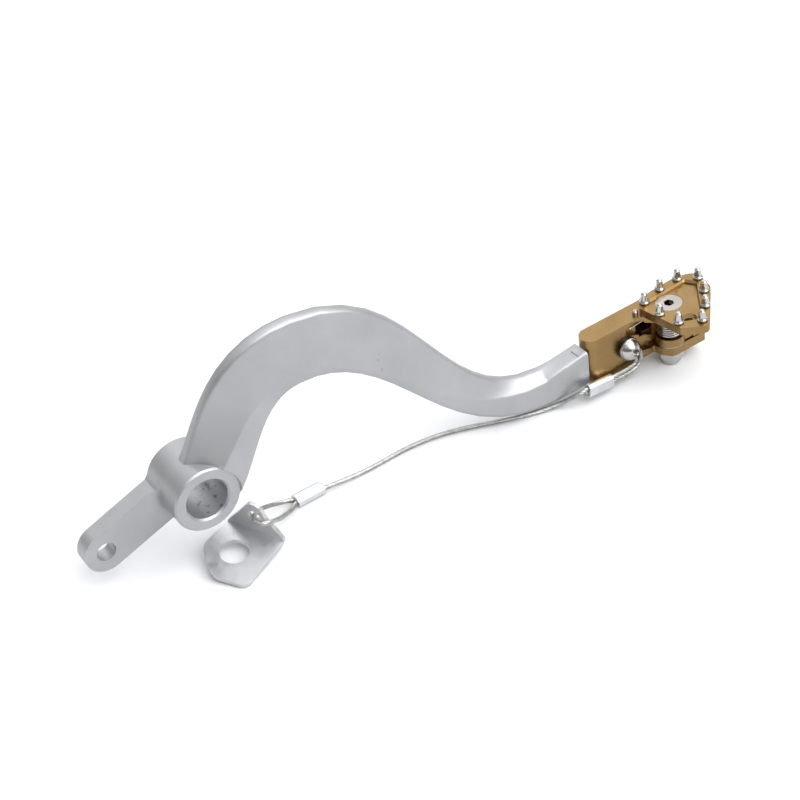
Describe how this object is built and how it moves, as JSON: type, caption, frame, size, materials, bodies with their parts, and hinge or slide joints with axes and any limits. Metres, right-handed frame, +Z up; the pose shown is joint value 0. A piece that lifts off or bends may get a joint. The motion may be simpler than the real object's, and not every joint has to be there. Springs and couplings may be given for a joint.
{
  "type": "rear brake pedal",
  "caption": "Forged rear brake pedal with a pivot hub, a push-rod lever, a sprung folding toe tip with steel grip studs, and a wire-rope snake cable ending in an anchor tab.",
  "frame": {"origin": "middle of the pivot bore, on its axis", "axes": "+X forward to the toe tip, +Y along the pivot bore towards the engine, +Z up and square to the tread"},
  "size_m": [0.2893, 0.0551, 0.0975],
  "materials": {
    "satin_alloy": "satin, bead blasted",
    "gold_alloy": "gold bronze anodised, machined",
    "polished_steel": "bright, turned",
    "plated_steel": "plated",
    "wire_rope": "twisted strands",
    "crimp_alloy": "crimped, satin",
    "scuffed_steel": "scuffed and scratched"
  },
  "bodies": {
    "pedal": {"pedal_arm": "satin_alloy", "tip_clevis": "gold_alloy", "clevis_bolt": "polished_steel", "clevis_washer": "plated_steel", "clevis_nut": "polished_steel", "pivot_bolt": "polished_steel", "pivot_sleeve": "plated_steel", "pivot_washer": "plated_steel", "pivot_nut": "polished_steel", "return_spring": "polished_steel", "stop_pin": "plated_steel", "snake_cable": "wire_rope", "front_ferrule": "crimp_alloy", "rear_ferrule": "crimp_alloy", "anchor_tab": "scuffed_steel"},
    "toe": {"toe_tip": "gold_alloy", "stud_1": "polished_steel", "stud_2": "polished_steel", "stud_3": "polished_steel", "stud_4": "polished_steel", "stud_5": "polished_steel", "stud_6": "polished_steel", "stud_7": "polished_steel", "stud_8": "polished_steel", "stud_9": "polished_steel"}
  },
  "joints": [
    {"name": "tip_fold", "type": "hinge", "parent": "pedal", "child": "toe", "pos_m": [0.219, -0.018, -0.016], "axis": [0, 0, 1], "range_deg": [-56, 0], "stiffness_Nm_per_rad": 0.2, "springref_deg": 8.59}
  ]
}
